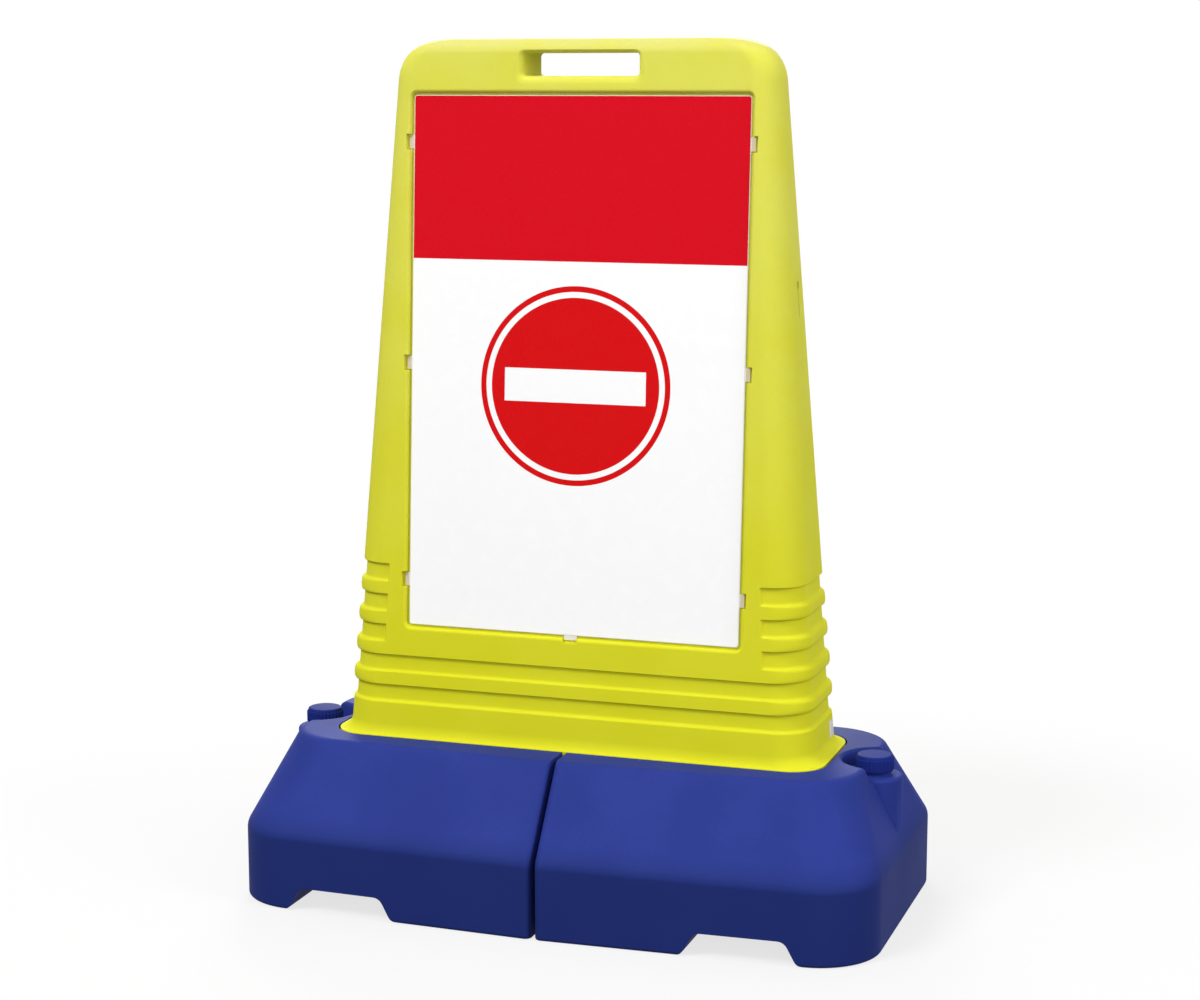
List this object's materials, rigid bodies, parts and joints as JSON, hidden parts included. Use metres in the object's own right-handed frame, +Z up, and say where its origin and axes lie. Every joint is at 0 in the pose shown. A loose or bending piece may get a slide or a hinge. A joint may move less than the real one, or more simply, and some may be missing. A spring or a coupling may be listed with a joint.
{
  "type": "freestanding sign",
  "caption": "Hollow tapered plastic sign body with a seated face plate, standing in two fillable ballast tanks that slide off sideways, with screw caps.",
  "frame": {"origin": "on the floor, at the centre of the base", "axes": "+X to the right along the sign as seen from its printed side, +Y to the back, +Z up; the printed side faces -Y"},
  "size_m": [0.841, 0.458, 1.1],
  "materials": {
    "body_yellow": "satin moulded",
    "plate_white": "semi-gloss sheet",
    "film_white": "gloss printed film",
    "tank_blue": "satin moulded, fine grain",
    "cap_blue": "satin moulded",
    "seal_black": "matt"
  },
  "bodies": {
    "sign_body": {"body_shell": "body_yellow", "sign_plate": "plate_white", "face_film": "film_white"},
    "left_tank": {"tank_left": "tank_blue"},
    "right_tank": {"tank_right": "tank_blue"},
    "left_seal": {"seal_left": "seal_black"},
    "right_seal": {"seal_right": "seal_black"},
    "left_cap": {"cap_left": "cap_blue"},
    "right_cap": {"cap_right": "cap_blue"}
  },
  "joints": [
    {"name": "left_tank_slide", "type": "slide", "parent": "sign_body", "child": "left_tank", "axis": [-1, 0, 0], "range_m": [0, 0.335]},
    {"name": "left_cap_lift", "type": "slide", "parent": "left_tank", "child": "left_seal", "axis": [0, 0, 1], "range_m": [0, 0.0151]},
    {"name": "left_cap_turn", "type": "hinge", "parent": "left_seal", "child": "left_cap", "pos_m": [-0.379, 0, 0.2], "axis": [0, 0, 1], "range_deg": [0, 1080]},
    {"name": "right_tank_slide", "type": "slide", "parent": "sign_body", "child": "right_tank", "axis": [1, 0, 0], "range_m": [0, 0.335]},
    {"name": "right_cap_lift", "type": "slide", "parent": "right_tank", "child": "right_seal", "axis": [0, 0, 1], "range_m": [0, 0.0151]},
    {"name": "right_cap_turn", "type": "hinge", "parent": "right_seal", "child": "right_cap", "pos_m": [0.379, 0, 0.2], "axis": [0, 0, 1], "range_deg": [0, 1080]}
  ],
  "couplings": [
    {"joint": "left_cap_lift", "follows": "left_cap_turn", "m_per_rad": 0.00079577},
    {"joint": "right_cap_lift", "follows": "right_cap_turn", "m_per_rad": 0.00079577}
  ]
}
